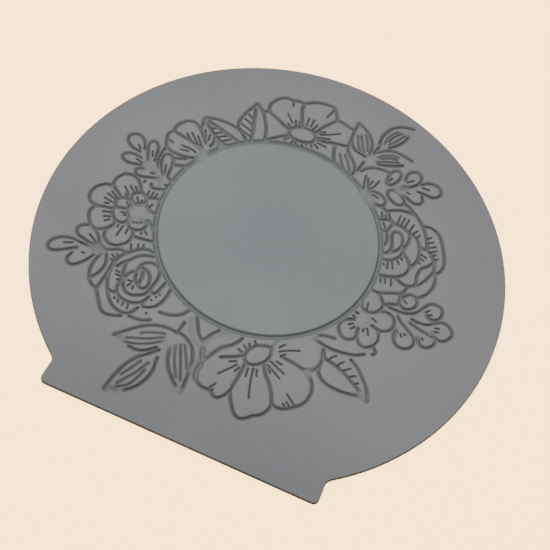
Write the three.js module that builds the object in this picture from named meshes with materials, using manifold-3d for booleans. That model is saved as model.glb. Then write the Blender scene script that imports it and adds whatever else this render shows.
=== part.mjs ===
// A floral relief mould in grey silicone: a thin round sheet with a straight-edged tab. A base
// sheet carries a face layer of one constant thickness, and the wreath is cut right through that
// layer, so every petal, leaf and bud that a groove closes off is a pad of its own on the base.
// Millimetres, +Z up. The origin is the centre of the round sheet, on its underside, and the tab
// points along -Y.
import * as THREE from 'three';
import { mergeVertices } from 'three/addons/utils/BufferGeometryUtils.js';
import Module from 'manifold-3d';

// Driving dimensions
const SHEET_RADIUS = 75;
const BASE_THICKNESS = 0.6;
const FACE_THICKNESS = 0.9;
const TAB_HALF_WIDTH = 46;
const TAB_NECK_HALF_WIDTH = 45.6;
const TAB_EDGE_Y = -68.4;
const TAB_CORNER_RADIUS = 1.8;
const NECK_FILLET_RADIUS = 1.5;
const FIELD_CENTRE = [-4.37, 9.45];
const FIELD_RADIUS = 34.95;
const CHANNEL_WIDTH = 1.5;
const GROOVE_WIDTH = 0.85;
const VEIN_WIDTH = 0.5;
const SILICONE_GREY = 0x8a8b8d;
const SILICONE_ROUGHNESS = 0.62;

// Faceting
const CHORD_ERROR = 0.055;
const CURVE_SAMPLES = 400;
const CAP_STEPS = 4;
const RIM_SEGMENTS = 120;
const CHANNEL_SEGMENTS = 96;
const CORNER_STEPS = 5;
const CUT_MARGIN = 0.5;
const FOLDED_BACK = 0.97;
const WELD_DISTANCE = 1e-5;
const REWELD_DISTANCE = 1e-4;
const LEVEL_TOLERANCE = 1e-3;

const open = (...points) => ({ points, closed: false, width: GROOVE_WIDTH });
const closed = (...points) => ({ points, closed: true, width: GROOVE_WIDTH });
const vein = (...points) => ({ points, closed: false, width: VEIN_WIDTH });

// The wreath, motif by motif, clockwise from the top. Each entry is the centre line of a groove, a
// smooth curve through its points in the plane of the sheet. The veins of the leaves are narrower.
const TOP_ANEMONE = [
  closed([-14.4, 48.6], [-13.9, 50.9], [-11.2, 52.3], [-8, 52.5], [-6.1, 51], [-6.4, 48.8], [-9, 47.5],
    [-12.3, 47.3]),
  open([-23.3, 52.8], [-24.2, 54.8], [-23.6, 57.2], [-22.1, 59.3], [-20.2, 60.5], [-18.3, 60.4]),
  open([-18.3, 60.4], [-16.6, 61.1], [-14.2, 61.2], [-12.1, 62.8], [-9.3, 63.9], [-6.8, 64.3],
    [-4.9, 64.3]),
  open([-4.9, 64.3], [-3.4, 62.4], [-2.1, 60.1]),
  open([-23.3, 52.8], [-20.4, 51.7], [-17, 50.5], [-14.2, 49.6]),
  open([-14.2, 61.2], [-14.1, 59], [-13, 56], [-11.2, 52.3]),
  open([-2.1, 60.1], [-4.2, 57.2], [-5.8, 54.6], [-7, 52.1]),
  open([-2.1, 60.1], [0, 60.1], [2, 59.4], [4.5, 59.3]),
  open([-6.1, 50.2], [-3, 50.7], [0, 51.7], [2.6, 52.3], [4.9, 52.6]),
  open([-13.9, 47.7], [-16.6, 45.6], [-18.9, 43.8], [-20.3, 42]),
];
const TOP_RIGHT_LEAVES = [
  open([4.6, 62.6], [6.9, 61.5], [9.2, 60], [11, 57.8], [12.1, 55.3], [12.1, 53.2]),
  open([4.6, 62.6], [4.5, 59.3], [4.9, 55.6], [6.5, 53.2], [8.7, 52], [11.3, 51.8]),
  vein([6.1, 58.2], [6.7, 56.6], [7.7, 54.7], [9, 53]),
  vein([7, 58.7], [8.2, 56.6], [9.5, 54.4], [10.5, 52.6]),
  vein([8.2, 59.3], [9.3, 57.7], [10.3, 55.8], [11.1, 54.1]),
  open([4.9, 55.6], [4.9, 52.6]),
  open([0.6, 51.6], [1.5, 48.8], [2.4, 46.4], [3.7, 44.6]),
  open([4.9, 52.6], [5.7, 50.5], [7.8, 48.7], [9.7, 46.4], [10.3, 44.3], [10, 42.6]),
  vein([3.5, 49], [5, 46.5], [6.8, 44.2]),
  vein([5.1, 49.2], [7.3, 46.6], [9.1, 43.8]),
  open([13.5, 58.6], [13.4, 60.6], [13.8, 62.8], [15, 65.4], [17.1, 67.3], [19.2, 68.2], [21.5, 68.7]),
  open([21.1, 66.9], [21, 65.2], [20.4, 62.9], [19.3, 61], [18.1, 59.5], [16.9, 58.3]),
  vein([15.2, 59.1], [15.1, 60.3], [15.4, 61.9], [16.2, 63.8], [17.5, 65.4]),
  vein([16, 60.5], [16.4, 61.8], [17.4, 63.7], [18.9, 65.5]),
  vein([16.5, 59.4], [17.9, 61.6], [19.1, 63.9], [20, 65.2]),
  open([14.5, 54.9], [16, 56.4], [18.2, 57.5], [20.6, 57.8], [23.2, 57.4], [25.8, 56.95]),
  open([15.9, 50.9], [17.4, 51.2], [19.3, 52], [21.5, 53], [23.5, 54.3]),
  vein([15.3, 53.3], [16.5, 54.6], [19.2, 56], [21.3, 56.2]),
  vein([16.3, 53.2], [18, 54.4], [19.6, 55.1], [21, 55.3]),
  vein([15.2, 51.4], [16.7, 52.3], [18.5, 53.1], [22, 54.7]),
  open([13.3, 53.9], [13.7, 55.5], [13.8, 57.2]),
];
const UPPER_RIGHT_SPRIG = [
  open([12.3, 46], [13.7, 47.7], [15.7, 49], [18.3, 49.5], [21, 49.5]),
  open([11, 45.6], [11.3, 47.6], [11.6, 49.6]),
  open([21.4, 45.5], [21.1, 47.3], [21.2, 49.1], [21.9, 50.9], [23.1, 51.5], [24.3, 50.8], [24.6, 48.8],
    [23.6, 46.5], [22.3, 45.2]),
  open([26.5, 49.4], [26.3, 51.2], [27.2, 53.1], [29, 53.8], [30.6, 52.9], [31, 51.1], [30, 49],
    [28.4, 47.5], [27, 46.9]),
  open([31.4, 50], [33.4, 51.5], [35.8, 52], [37.8, 51.3], [38.6, 49.7], [37.9, 48], [36, 47.3],
    [33.8, 47.4], [31.5, 47.1]),
  open([33.3, 46.2], [34.3, 44.9], [33.9, 43.2], [32.2, 42.6], [29.9, 43.3], [27.6, 44.1]),
  closed([23.1, 43.3], [25.4, 43.9], [27.8, 42.9], [29.3, 41.4], [28.6, 40], [26.8, 39.7], [24.9, 40.4],
    [23.3, 41.8]),
  closed([17.6, 40.2], [19.7, 40.7], [21.9, 40.3], [23.6, 39.1], [23.6, 37.3], [22.3, 36.6], [20.1, 37],
    [17.7, 38.3]),
];
const RIGHT_ROSE = [
  open([29.2, 41.2], [31.1, 40.7], [33.5, 39.4], [35.9, 37.8], [37.9, 35.8]),
  open([37.9, 35.8], [39.3, 36.4], [41.2, 36.5], [43.5, 35.4], [45.3, 33.5], [47.1, 30.5], [48.7, 27.5],
    [49.4, 24.6], [48.9, 22.4], [47.6, 21.2]),
  open([37.9, 35.8], [39.7, 33.6], [41.2, 31.1], [42.2, 28.6]),
  open([40.1, 28.1], [42.2, 28.2], [44.1, 27.4], [45.8, 25.6], [46.9, 23.4], [47.6, 21.2]),
  open([46, 25.2], [44.9, 23], [43.3, 21.2], [42.9, 18.9], [43.3, 16.6], [43.9, 14.4]),
  open([47.2, 21.7], [46.5, 19.1], [45.7, 16.9], [44.6, 15], [43, 13.8], [41, 13.3], [39, 13.7],
    [37.3, 14.6]),
  open([47.8, 21.2], [49, 19.1], [49.4, 16.7], [48.8, 14.2], [47.7, 12.2], [46.2, 10.7]),
  open([27.9, 33], [29.9, 32.5], [31.9, 32.5], [33.9, 32], [35.6, 31.3]),
  open([35.6, 31.3], [37.4, 30.9], [39.1, 29.4], [40.3, 26.9], [41, 24.4], [40.8, 22.1], [39.9, 19.9]),
  open([25.6, 36], [27.6, 37.4], [30, 38.4], [32, 38.75], [34.2, 38.8]),
  open([20.9, 36.5], [23.4, 36.6], [25.6, 35.8], [27.2, 34.3], [28.3, 32.8]),
  open([24, 32], [25.8, 32.6], [27.9, 33]),
  open([29.5, 32.6], [28.8, 31.2], [28.6, 29.4], [29, 27.5], [29.8, 26], [29.7, 23.9]),
  open([25, 30.6], [25.6, 28.8], [26.8, 28.4], [28.5, 29.1]),
  open([35, 31.4], [35.8, 29.6], [36, 27.6], [35.6, 25.6], [35.8, 23.9], [35.1, 21.4], [33.5, 19.5],
    [30.6, 18.5]),
  open([30.5, 29.7], [31.9, 30.2], [33.4, 29.3], [34.4, 27.4], [34.5, 25.6], [33.7, 23.8], [32.2, 22.3],
    [30.3, 21.1]),
  open([30.5, 29.7], [30.6, 27.8], [31.5, 26], [32.1, 24.2], [31.8, 22.4]),
  open([34.6, 25.6], [35.6, 25.6]),
  open([35.8, 23.9], [37.7, 22.7], [39, 21.2], [39.9, 19.7]),
  open([39.9, 20], [39.7, 17.9], [38.7, 16], [36.8, 14.6], [34.4, 13.7], [31.8, 13]),
  open([42.1, 13.3], [41.9, 11.6], [41.2, 9.9], [39.2, 9], [36.8, 7.8], [34.5, 7], [31.8, 6.95]),
];
const BERRY_SPRIG = [
  closed([42.3, 9], [43.4, 10.6], [45.2, 10.9], [46.7, 9.6], [46.8, 7.6], [45.5, 5.9], [43.6, 5.5],
    [42, 6.4], [41.5, 7.8]),
  open([38.1, 3.9], [39.3, 5], [41.6, 5.8]),
  open([41.2, 9.9], [41.6, 7.8]),
  open([35.2, 6.8], [36.4, 5.5], [37.5, 4.2]),
  open([39.5, 3.8], [42.3, 3.7], [45, 4.1], [47.3, 5.2], [48.7, 6.9], [49.8, 9], [50.8, 10.6],
    [52.7, 11.1], [54.7, 10.5], [55.5, 8.5], [54.9, 6.6], [53.2, 5.7], [51.5, 6]),
  open([47.4, 3.2], [49.8, 2.8], [52.4, 3.2], [54.4, 4.5], [56.2, 6], [58.2, 6], [60, 5], [61, 3.4],
    [60.4, 1.7], [59.2, 0.2], [57.1, -0.1], [55.2, 0.6]),
  open([47.5, 1.4], [50.3, 0.7], [53.3, 0.2], [57.1, -0.1]),
  open([57, -0.2], [57, -2.4], [55.7, -4.1], [54, -4.5], [52.5, -3.5], [51.8, -2.3]),
  open([42.9, 2.4], [44.6, 0.6], [46.9, -0.8], [49.1, -2], [50.9, -3.4], [51.3, -5.4], [50.2, -7.2],
    [48, -8], [45.9, -7.1], [44.7, -5], [44.9, -2.6]),
];
const SMALL_FLOWER = [
  open([37.5, 4.3], [37.5, 2.2], [36.8, 0.4], [35.4, -0.8], [33.6, -0.9], [32.5, -0.7], [31.4, 1.2]),
  open([36.8, 0.2], [38.7, 1.4], [40.5, 1.7], [42.3, 0.9], [43.5, -1.2], [43.3, -3.3], [41.8, -4.9],
    [39.4, -5.3], [36.9, -4.7]),
  open([39.4, -5.4], [40.6, -7.4], [40.9, -9.4], [39.8, -11.7], [37.9, -13.1], [35.9, -12.6],
    [34.6, -11], [34, -9.1], [33.8, -7.3]),
  open([30.9, -5.4], [29.1, -6.6], [28.1, -8.6], [28.5, -10.8], [30.1, -12.6], [32.1, -13],
    [33.8, -11.9], [34.3, -10]),
];
const LOWER_RIGHT_LEAVES = [
  open([23.4, -15.9], [25.2, -15], [28.9, -14.3]),
  open([23.6, -17.3], [26.4, -17.9], [29.6, -18.1], [32.9, -17.7], [35.8, -17], [37.6, -16.2], [39.1, -15]),
  open([40.7, -11.6], [42.1, -13.2], [41.1, -14.3]),
  open([35.8, -18.8], [38.5, -20.3], [41.1, -22.6], [43.2, -24.8], [44.9, -27.1], [46.1, -29.8]),
  open([27, -19.2], [28, -21], [29, -22.1], [31.7, -22.7], [34.4, -23.6], [37, -24.7], [39.4, -26],
    [42.7, -27.7]),
  open([28.4, -25.4], [28.8, -27.2], [30.2, -28.8], [32.3, -29.9], [34.9, -30.3], [37.9, -30.3],
    [42.5, -29.4]),
];
const BOTTOM_ANEMONE = [
  closed([12.3, -26.4], [13.2, -28.7], [12.6, -31.3], [10.8, -33.5], [8.4, -34.4], [6.6, -33.3],
    [6.4, -30.7], [7.8, -28.1], [10, -26.8]),
  open([7.6, -34.5], [7.6, -38.4], [7.3, -42.1], [7.1, -45.3], [6, -47.9], [4.2, -49.5], [2.7, -49.1],
    [1.3, -48]),
  open([1.3, -48], [-1.1, -48.1], [-3.1, -47.3], [-4.4, -45.5], [-4.9, -42.8], [-4.3, -39.6]),
  open([-6.1, -35.6], [-5.4, -37.7], [-4.3, -39.6]),
  open([-4.3, -39.6], [-2.8, -36.4], [-1.4, -33.4], [0.9, -31.3], [2.4, -29.1], [3.3, -27.1]),
  open([-0.3, -36.2], [1.9, -35.1], [3.9, -33.9], [6, -32.6]),
  open([7.1, -45.3], [8.5, -47.9], [10, -50.2], [11.5, -52], [13.3, -52.7], [14.9, -52], [16.6, -50.1],
    [18.5, -48.9], [19.7, -47.1], [20.3, -44.7], [19.6, -42.4], [18.5, -40.2], [16.5, -37.5],
    [14.2, -35.1], [12.6, -32.4]),
  open([20.1, -43.6], [21.9, -44.2], [23.9, -43.9], [26, -42.5], [27.9, -40.7], [29.4, -38.3],
    [29.8, -35.5], [29.2, -32.8], [27.9, -30.9], [26.3, -29.6]),
  open([16.4, -27.7], [20, -28], [22.7, -28.4], [25.3, -28.5], [27.2, -27.4], [28.2, -25.3],
    [28.3, -23.3], [27.9, -21.6], [27, -19.2]),
];
const LOWER_LEAVES = [
  open([-15, -34.5], [-18.4, -34.6], [-22, -35.2], [-25.2, -36.9], [-27.9, -39.2], [-30.4, -41.9],
    [-32.6, -44.1]),
  open([-26.9, -45.5], [-24.7, -45.7], [-22.8, -45.2], [-20.8, -43.8], [-19.1, -42]),
  vein([-25.4, -40], [-23.6, -38.8], [-21, -37.6], [-18.6, -36.7]),
  vein([-28.9, -43.3], [-26.3, -42.1], [-24, -41.2], [-21.1, -39.6], [-18.2, -37.8]),
  vein([-28.7, -44.7], [-26.7, -44.3], [-23.7, -43.1], [-21.2, -41.6], [-18.3, -39.3]),
  open([-27.3, -62.2], [-26.7, -58.3], [-25.9, -54.7], [-24.6, -50.9], [-22.7, -47.8], [-20.2, -45],
    [-17.9, -42.3]),
  open([-27.3, -62.2], [-25.2, -61.5], [-23.2, -60.7], [-20.9, -59.1], [-19, -56.9], [-17.6, -54.2],
    [-16.9, -51.1], [-16.9, -47.9], [-17.2, -45]),
  vein([-24.7, -55.5], [-23.4, -53.4], [-22.2, -50.8], [-21.2, -48.4]),
  vein([-24.6, -58.7], [-23.1, -56.2], [-21.4, -53.3], [-20.1, -50.7], [-18.9, -47.9]),
  vein([-24.2, -59.6], [-22.6, -58.7], [-21.2, -57.2], [-20.2, -54.8], [-19.5, -52.8], [-19, -50.4]),
  open([-14.5, -34.3], [-11.6, -35.3], [-9.3, -37.5], [-7.8, -40.5], [-6.9, -44], [-6.4, -48.1],
    [-6, -52.7]),
  open([-6, -52.7], [-8, -51.6], [-10.3, -49.6], [-12.7, -47], [-14.3, -44.1], [-15.1, -40.6]),
  vein([-14, -38.9], [-12.8, -42.4], [-10.9, -46.2], [-9.4, -48.8]),
  vein([-13, -37.9], [-11.3, -41.6], [-9.5, -45.5], [-7.8, -49.2]),
  vein([-11.9, -37.3], [-9.8, -40.9], [-7.9, -44.7]),
  open([-14.9, -30.2], [-15.1, -32.2], [-15.4, -34.3]),
  open([-12.3, -26.9], [-10.9, -29.4], [-9.4, -32], [-7.6, -33.6]),
  open([-7.6, -33.6], [-6.4, -31], [-5.3, -29.1], [-4.2, -27.8]),
  open([-23.6, -30.8], [-20.9, -30.5], [-18.3, -29.4], [-16.4, -27.8], [-15.4, -25.8]),
];
const LOWER_LEFT_ROSE = [
  open([-49.5, -17.5], [-48.6, -18.2], [-47.3, -18], [-45.9, -17.2], [-44.4, -16.2], [-42.9, -16.1],
    [-41.3, -16.2]),
  open([-41.3, -16.2], [-42.8, -18.1], [-43.7, -21.2], [-43.6, -24.5], [-42.8, -27.7], [-41.4, -30.6],
    [-39.5, -33.3], [-37.1, -35.2], [-34.5, -36.1], [-32.3, -35.7], [-30.8, -34.2], [-30.1, -32]),
  open([-44, -20.5], [-43.9, -23.5], [-44.2, -27.2], [-44.5, -31.6]),
  open([-41.3, -16.2], [-39.2, -14], [-37.4, -12.7], [-35.5, -12.2], [-33.8, -12.4]),
  open([-42.4, -22], [-41.4, -20], [-39.5, -18.1], [-38.3, -16.3], [-36.2, -14.6], [-33.2, -13.7]),
  open([-40.1, -18.8], [-39.8, -21.4], [-39, -24.3], [-39, -26.4], [-38.9, -28.5], [-38, -30.5],
    [-35.8, -31.5], [-33.3, -31.6], [-31, -30.7], [-29.4, -29], [-28.8, -27]),
  open([-41.4, -30.6], [-38.6, -30.6]),
  open([-35.8, -20.7], [-37.3, -21.8], [-38.2, -23.8], [-37.9, -26.4], [-36.7, -28.3], [-34.6, -29.1],
    [-32.1, -28.3], [-30.1, -26.5], [-29.6, -24.3], [-29.1, -21.4], [-29.1, -19.3], [-29.9, -17.1],
    [-31.2, -16.1], [-33.3, -16.1], [-35, -17.2], [-35.8, -19], [-35.6, -21.9], [-34.9, -24]),
  open([-35.5, -19.2], [-33.8, -18.9], [-32, -20.1], [-30.9, -22.4], [-31, -24.6], [-32.1, -25.6],
    [-33.6, -25], [-34.9, -24]),
  open([-34.1, -20.2], [-33.5, -22.2], [-33.5, -24.8]),
  open([-26.3, -20.4], [-26.8, -22.9], [-27.5, -25.1], [-28.7, -25.7], [-29.6, -24.5]),
  open([-23.8, -21.9], [-23.9, -24.4], [-24.4, -27.1], [-25.7, -29.5], [-27.4, -30.8], [-28.9, -31.1],
    [-29.8, -30]),
  open([-31.2, -36.2], [-28.7, -36.2], [-26.5, -35.6], [-24.7, -34.4]),
  open([-48.1, -29.5], [-46.6, -31.1], [-44.7, -31.8], [-43.2, -33.8], [-41.4, -36.3], [-39.7, -38.2],
    [-37.6, -38.8], [-35.5, -38.3], [-33.4, -37.2]),
];
const LOWER_LEFT_SPRIG = [
  open([-56.5, -12.7], [-58.4, -13.6], [-59.1, -15.3], [-58, -17], [-55.9, -17.6], [-53.6, -18],
    [-51.8, -18.4]),
  open([-54.3, -13], [-52.6, -14.3], [-51.1, -16.2], [-49.9, -18]),
  open([-53.4, -19.5], [-56.4, -19.3], [-59.7, -19.5], [-62.5, -20.7], [-64.3, -22.8], [-64.7, -24.7],
    [-63.6, -25.9], [-61.7, -25.4], [-59, -23.5], [-56.2, -21.4]),
  open([-56.7, -23.8], [-57.3, -25.6], [-56.8, -27.2], [-55.6, -27.8], [-54, -27], [-52.2, -24.9],
    [-51, -22.9], [-50.3, -21.3]),
  open([-48.4, -20.2], [-49.1, -22.6], [-49.3, -25.2], [-48.9, -27.5], [-48.1, -29.5]),
  open([-48.1, -29.5], [-46.9, -27.6], [-46.1, -25.6], [-45.8, -23.3], [-46.2, -21.3], [-47.2, -19.4]),
];
const LEFT_FLOWER = [
  open([-56.2, 4.4], [-56.3, 6], [-55.8, 8], [-54.4, 9.9], [-52.4, 10.6], [-50.3, 10.1], [-48.6, 8.7],
    [-47.7, 7], [-46.8, 6]),
  open([-56.2, 4.4], [-54.3, 3.1], [-52.3, 1.7]),
  open([-55.3, 4.1], [-57.7, 3.9], [-59.8, 2.4], [-61, -0.1], [-61.1, -2.6], [-60, -4.5], [-57.7, -5],
    [-55.2, -4.4], [-52.3, -3.4]),
  open([-57.6, -5], [-58.5, -7.7], [-57.7, -10.2], [-56.2, -12.1], [-54.3, -12.9], [-52.4, -12.1],
    [-50.8, -10.6], [-49.9, -9], [-49.6, -7.2]),
  open([-51, -11.2], [-50.9, -13.5], [-49.6, -15.1], [-47.6, -15.7], [-45.6, -15.2], [-43.9, -13.9],
    [-42.9, -11.9], [-42.7, -9.9], [-43.2, -7.9]),
  closed([-48.6, 2], [-48.9, 4], [-47.7, 5.3], [-46.2, 5.7], [-45, 4.9], [-44.3, 3], [-45.2, 1.9],
    [-46.8, 1.2]),
  closed([-48.6, 1.5], [-50.2, 1.7], [-51.8, 1.1], [-52.7, -0.3], [-52.4, -1.8], [-51.4, -2.5],
    [-49.8, -2], [-48.2, -1.4], [-47.8, 0]),
  open([-51.8, -2.4], [-52.1, -4], [-51.4, -5.6], [-50, -6.9], [-48.5, -7.1], [-47, -6.4], [-46.3, -4.6]),
  open([-46.3, -4.6], [-45.9, -5.8], [-45.1, -7.2], [-43.6, -7.6], [-41.9, -7], [-40.7, -5.8],
    [-40.5, -4.2], [-40.9, -2.4]),
  open([-47.8, 0], [-48.2, -1.4], [-47.6, -2.9], [-46.3, -4.2], [-44.4, -4.8], [-42.4, -4], [-40.9, -2.4]),
  open([-44.3, 3], [-43, 1.9], [-41.6, 0.9], [-39.8, 0.7]),
  open([-40.9, -2.4], [-39.4, -3.3], [-38, -4.6]),
  open([-42.7, -9.9], [-40, -9.5], [-36.1, -8.7]),
  open([-46.8, 6], [-45.5, 5.6], [-44.4, 4.9], [-43.1, 5.2], [-41.5, 6], [-39.9, 6.3]),
];
const LEFT_SPRIG = [
  open([-52.9, 21.2], [-54.4, 23.8], [-56, 25], [-57.8, 25], [-59.3, 23.8], [-59.4, 22.2], [-58, 20.6],
    [-56, 19.8], [-53.9, 19.5]),
  open([-50.5, 18.3], [-51.3, 20], [-52.2, 22.2], [-52.5, 24], [-51.3, 25.2], [-49.7, 24.2],
    [-48.8, 21.2], [-48.4, 18.6]),
  open([-47.4, 25.2], [-47.7, 22.8], [-47.5, 20], [-46.9, 17.9], [-46, 16.8]),
  open([-43.7, 15.2], [-44.7, 16.2], [-45.7, 18], [-46.5, 20.5], [-46.4, 22.2], [-45, 22.9], [-43.5, 22],
    [-42.8, 19.8], [-42.5, 17.2], [-42.3, 15.2]),
  open([-51.3, 15.3], [-53.4, 14.8], [-55.7, 14.2], [-57.7, 14.8], [-58.2, 16.1], [-56.8, 17.5],
    [-54.6, 17.8], [-52.6, 17.5]),
  open([-50, 14.1], [-51.3, 13.9], [-52.2, 12.8], [-51.7, 11.6], [-50.1, 11.3], [-47.6, 12.1], [-45.1, 13]),
  open([-45.8, 10.4], [-45, 9.1], [-43.3, 9.4], [-41.5, 10.3], [-39.9, 10.9]),
  open([-41.8, 14.9], [-39.7, 13.7]),
];
const UPPER_LEFT_FLOWER = [
  open([-47.6, 31.7], [-48.8, 30], [-48.5, 27.8], [-47.4, 25.2], [-46, 24.5], [-43.6, 24.1],
    [-41.1, 24.4], [-38.6, 25.1], [-36, 26.1]),
  open([-47.6, 31.7], [-47.7, 33.4], [-47, 35.2], [-45.6, 37], [-43.9, 37.8], [-42.1, 37.5],
    [-40.4, 36.3], [-38.4, 34.2], [-36.7, 32.2]),
  open([-47.6, 31.7], [-44.4, 31.3], [-41.2, 30.8], [-38, 30]),
  open([-40.8, 40.8], [-40.4, 38.6], [-40.4, 36.3]),
  open([-34.7, 36], [-34.6, 33.9], [-35, 31.8]),
  open([-33.3, 35.2], [-32.3, 33.2], [-32.3, 31], [-33.4, 28.9]),
  open([-43.5, 22.1], [-41.4, 23], [-39.6, 24]),
  open([-42.6, 19.8], [-40.6, 20.6], [-38.6, 21.6], [-37.3, 22.9]),
];
const UPPER_LEFT_LEAVES = [
  open([-27.9, 54], [-29, 51.3], [-30, 48.2], [-30.4, 45.4], [-30, 42.6]),
  open([-27.9, 54], [-25.8, 52.4], [-23.8, 50], [-21.9, 46.9], [-20.9, 44.3], [-20.4, 41.3]),
  open([-25.4, 52.1], [-23.3, 52.8]),
  open([-27.6, 51.6], [-26.4, 48], [-25.3, 44.5], [-24.4, 41.2], [-23.9, 39.1]),
  open([-40.8, 41.1], [-38.4, 42], [-35, 42.5], [-31.7, 42.4], [-28.7, 41.6], [-26.5, 40.4], [-24.9, 38.4]),
  open([-40.6, 40.8], [-36.5, 39.8], [-32.6, 39], [-29.2, 38.2], [-26.3, 37.3]),
  open([-40.3, 40.6], [-38.7, 39], [-36.6, 37.4], [-34.6, 36], [-32.6, 35.2], [-30.6, 34.7]),
];

const GROOVES = [
  ...TOP_ANEMONE, ...TOP_RIGHT_LEAVES, ...UPPER_RIGHT_SPRIG, ...RIGHT_ROSE, ...BERRY_SPRIG, ...SMALL_FLOWER,
  ...LOWER_RIGHT_LEAVES, ...BOTTOM_ANEMONE, ...LOWER_LEAVES, ...LOWER_LEFT_ROSE, ...LOWER_LEFT_SPRIG,
  ...LEFT_FLOWER, ...LEFT_SPRIG, ...UPPER_LEFT_FLOWER, ...UPPER_LEFT_LEAVES,
];

// Every body of the cut face layer: its name, and a point of the sheet that it covers
const FACE_BODIES = {
  outer_field: [59, -19],
  centre_field: [-15.8, 7.2],
  top_anemone_centre: [-9, 49.2],
  top_anemone_left_petal: [-17.8, 54],
  top_anemone_upper_petal: [-10.6, 57.9],
  top_anemone_right_petal: [0, 56],
  top_anemone_lower_petal: [-0.7, 49.1],
  top_anemone_lower_left_petal: [-20.5, 49.3],
  top_short_leaf: [2.9, 51],
  upper_right_bud_upper: [25.1, 42.3],
  upper_right_bud_lower: [20.1, 39.1],
  right_rose_outer_petal: [44.8, 31],
  right_rose_upper_petal: [34.2, 34.1],
  right_rose_upper_left_petal: [23.4, 34.2],
  right_rose_left_petal: [27.5, 31.4],
  right_rose_heart_fold: [30.4, 31.2],
  right_rose_heart: [32.6, 26.4],
  right_rose_heart_cup: [33.6, 21.5],
  right_rose_inner_petal: [38, 25],
  right_rose_side_petal: [42, 17],
  right_rose_tucked_petal: [45.3, 19.4],
  right_rose_lower_petal: [34.4, 17.8],
  right_rose_lower_right_petal: [45.6, 12.4],
  right_rose_base_petal: [34.1, 10.1],
  right_rose_base_leaf: [39.4, 7],
  berry_sprig_round_bud: [45, 8.2],
  small_flower_upper_petal: [34.4, 4.3],
  bottom_anemone_centre: [10.5, -30.6],
  bottom_anemone_lower_petal: [11.8, -42.5],
  lower_left_rose: [-40.8, -24.1],
  lower_left_rose_heart: [-32.7, -21.7],
  left_flower_centre: [-44.1, 0],
  left_flower_upper_petal: [-51.1, 4.7],
  left_flower_left_petal: [-56.2, -1.8],
  left_flower_lower_left_petal: [-56.4, -8.4],
  left_flower_lower_petal: [-48.1, -11],
  left_flower_lower_right_petal: [-39.4, -10.7],
  left_flower_right_petal: [-37.6, -7.3],
  left_flower_inner_petal_top: [-46.2, 3.1],
  left_flower_inner_petal_left: [-50.6, -1.1],
  left_flower_inner_petal_lower_left: [-48.8, -3.7],
  left_flower_inner_petal_lower: [-42.8, -5.4],
  left_flower_inner_petal_right: [-42, 3.3],
  left_sprig_leaf_lower: [-40.3, 19.7],
  left_sprig_leaf_upper: [-40.1, 22.3],
  upper_left_flower: [-42.9, 33.4],
  upper_left_leaf_lower_half: [-33, 37],
  upper_left_leaf_upper_half: [-31.8, 40.1],
  upper_left_tall_leaf: [-27.7, 45.8],
};
const SMALLEST_PAD_AREA = 1.5;

const wasm = await Module();
wasm.setup();

// A closed geometry as a manifold-3d solid
function toSolid(geometry) {
  geometry.deleteAttribute('normal');
  geometry.deleteAttribute('uv');
  const merged = mergeVertices(geometry, WELD_DISTANCE);
  const vertProperties = new Float32Array(merged.attributes.position.array);
  const triVerts = new Uint32Array(merged.index.array);
  return new wasm.Manifold(new wasm.Mesh({ numProp: 3, vertProperties, triVerts }));
}

// A flat prism of an outline, from height z upwards. An arc gets twice as many chords as curveSegments.
function prism(shape, z, depth, curveSegments = CORNER_STEPS) {
  const geometry = new THREE.ExtrudeGeometry(shape, { depth, bevelEnabled: false, curveSegments });
  geometry.translate(0, 0, z);
  return geometry;
}

// The outline of the sheet: the circle, a filleted neck on each side, and the straight-edged tab
function sheetOutline() {
  const neckY = -Math.sqrt(SHEET_RADIUS ** 2 - TAB_NECK_HALF_WIDTH ** 2);
  const along = new THREE.Vector2(-neckY, TAB_NECK_HALF_WIDTH).setLength(NECK_FILLET_RADIUS);
  const neckEnd = [TAB_NECK_HALF_WIDTH, neckY - NECK_FILLET_RADIUS];
  const arcStart = [TAB_NECK_HALF_WIDTH + along.x, neckY + along.y];
  const startAngle = Math.atan2(arcStart[1], arcStart[0]);
  const cornerX = TAB_HALF_WIDTH - TAB_CORNER_RADIUS;
  const cornerY = TAB_EDGE_Y + TAB_CORNER_RADIUS;

  const shape = new THREE.Shape();
  const points = [];
  for (let i = 0; i <= RIM_SEGMENTS; i++) {
    const angle = startAngle + (i / RIM_SEGMENTS) * (Math.PI - 2 * startAngle);
    points.push(new THREE.Vector2(SHEET_RADIUS * Math.cos(angle), SHEET_RADIUS * Math.sin(angle)));
  }
  shape.setFromPoints(points);
  shape.quadraticCurveTo(-TAB_NECK_HALF_WIDTH, neckY, -neckEnd[0], neckEnd[1]);
  shape.lineTo(-TAB_HALF_WIDTH, cornerY);
  shape.absarc(-cornerX, cornerY, TAB_CORNER_RADIUS, Math.PI, 1.5 * Math.PI, false);
  shape.lineTo(cornerX, TAB_EDGE_Y);
  shape.absarc(cornerX, cornerY, TAB_CORNER_RADIUS, 1.5 * Math.PI, 2 * Math.PI, false);
  shape.lineTo(neckEnd[0], neckEnd[1]);
  shape.quadraticCurveTo(TAB_NECK_HALF_WIDTH, neckY, arcStart[0], arcStart[1]);
  return shape;
}

// The farthest that the samples between two indices lie from the chord that joins them
function chordError(samples, from, to) {
  const chord = new THREE.Vector3().subVectors(samples[to], samples[from]);
  const length = chord.length();
  let worst = 0;
  for (let i = from + 1; i < to; i++) {
    const offset = new THREE.Vector3().subVectors(samples[i], samples[from]);
    worst = Math.max(worst, Math.abs(chord.x * offset.y - chord.y * offset.x) / length);
  }
  return worst;
}

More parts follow.
